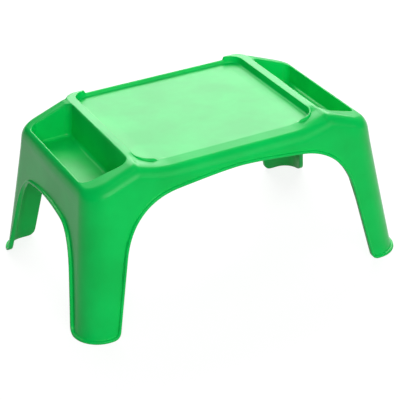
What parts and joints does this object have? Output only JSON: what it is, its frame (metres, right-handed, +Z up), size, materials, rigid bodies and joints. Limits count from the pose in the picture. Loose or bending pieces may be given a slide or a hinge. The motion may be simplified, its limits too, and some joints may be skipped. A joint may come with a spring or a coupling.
{
  "type": "kids lap desk",
  "caption": "One-piece moulded kids' lap desk: sunken writing panel, a deep tray at each end, four splayed corner legs between arches.",
  "frame": {"origin": "on the floor, under the middle of the desk", "axes": "+X along the desk to the right of the child who sits at -Y, +Y away from the child, +Z up"},
  "size_m": [0.52, 0.33, 0.236],
  "materials": {
    "polypropylene_green": "satin, as moulded"
  },
  "bodies": {
    "root": {"desk_moulding": "polypropylene_green"}
  },
  "joints": []
}
